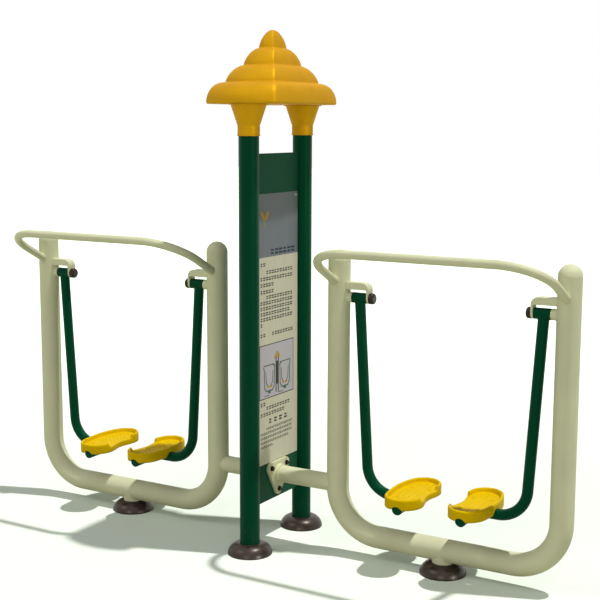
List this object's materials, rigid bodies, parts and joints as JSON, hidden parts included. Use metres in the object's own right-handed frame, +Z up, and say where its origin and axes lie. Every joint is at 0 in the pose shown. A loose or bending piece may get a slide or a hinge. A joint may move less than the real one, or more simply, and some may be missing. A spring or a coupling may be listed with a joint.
{
  "type": "outdoor air walker",
  "caption": "Outdoor air walker: a roofed sign tower between two U-shaped tube frames, each with a handrail and swinging foot pedals.",
  "frame": {"origin": "on the ground, midway between the two tower posts and between the two frames", "axes": "+X along the row of frames, through the sign's printed face; -Y towards the front, where the handrails reach; +Z up"},
  "size_m": [2.912, 0.6873, 2.388],
  "materials": {
    "green_paint": "satin powder coat",
    "cream_paint": "satin powder coat",
    "roof_plastic": "rotomoulded polyethylene, soft gloss",
    "pedal_plastic": "moulded plastic, soft gloss",
    "brown_plastic": "moulded plastic, soft gloss",
    "sign_print": "printed film, satin",
    "dark_steel": "black oxide",
    "zinc_steel": "zinc plated",
    "bare_steel": "ground"
  },
  "bodies": {
    "stand": {"tower_post_front": "green_paint", "tower_post_rear": "green_paint", "tower_panel": "green_paint", "sign_plate": "sign_print", "sign_rivets": "bare_steel", "roof_cap": "roof_plastic", "roof_sockets": "roof_plastic", "roof_screws": "bare_steel", "base_plates": "zinc_steel", "foot_covers": "brown_plastic", "frame_post_caps": "cream_paint", "frame_tees": "cream_paint", "frame_foot_stubs": "cream_paint", "link_tubes": "cream_paint", "link_flanges": "cream_paint", "flange_bolts": "dark_steel", "flange_nuts": "dark_steel", "pivot_brackets": "cream_paint", "pivot_bosses": "cream_paint", "pivot_axles": "bare_steel", "bearing_inner_rings": "bare_steel", "pivot_spacers": "bare_steel", "thrust_washers": "bare_steel", "axle_nuts": "zinc_steel", "nut_caps": "brown_plastic", "handrail_left": "cream_paint", "frame_tube_left_a": "cream_paint", "frame_tube_left_b": "cream_paint", "handrail_right": "cream_paint", "frame_tube_right_a": "cream_paint", "frame_tube_right_b": "cream_paint"},
    "arm_1": {"arm_1_tube": "green_paint", "arm_1_housing": "green_paint", "arm_1_bearings": "bare_steel", "arm_1_pedal_tube": "green_paint", "arm_1_pedal_plates": "green_paint", "arm_1_pedal": "pedal_plastic", "arm_1_pedal_bolts": "zinc_steel"},
    "arm_2": {"arm_2_tube": "green_paint", "arm_2_housing": "green_paint", "arm_2_bearings": "bare_steel", "arm_2_pedal_tube": "green_paint", "arm_2_pedal_plates": "green_paint", "arm_2_pedal": "pedal_plastic", "arm_2_pedal_bolts": "zinc_steel"},
    "arm_3": {"arm_3_tube": "green_paint", "arm_3_housing": "green_paint", "arm_3_bearings": "bare_steel", "arm_3_pedal_tube": "green_paint", "arm_3_pedal_plates": "green_paint", "arm_3_pedal": "pedal_plastic", "arm_3_pedal_bolts": "zinc_steel"},
    "arm_4": {"arm_4_tube": "green_paint", "arm_4_housing": "green_paint", "arm_4_bearings": "bare_steel", "arm_4_pedal_tube": "green_paint", "arm_4_pedal_plates": "green_paint", "arm_4_pedal": "pedal_plastic", "arm_4_pedal_bolts": "zinc_steel"}
  },
  "joints": [
    {"name": "arm_1_swing", "type": "hinge", "parent": "stand", "child": "arm_1", "pos_m": [-1.295, 0, 1.199], "axis": [1, 0, 0], "range_deg": [-60, 60]},
    {"name": "arm_2_swing", "type": "hinge", "parent": "stand", "child": "arm_2", "pos_m": [-0.445, 0, 1.199], "axis": [1, 0, 0], "range_deg": [-60, 60]},
    {"name": "arm_3_swing", "type": "hinge", "parent": "stand", "child": "arm_3", "pos_m": [0.445, 0, 1.199], "axis": [1, 0, 0], "range_deg": [-60, 60]},
    {"name": "arm_4_swing", "type": "hinge", "parent": "stand", "child": "arm_4", "pos_m": [1.295, 0, 1.199], "axis": [1, 0, 0], "range_deg": [-60, 60]}
  ]
}
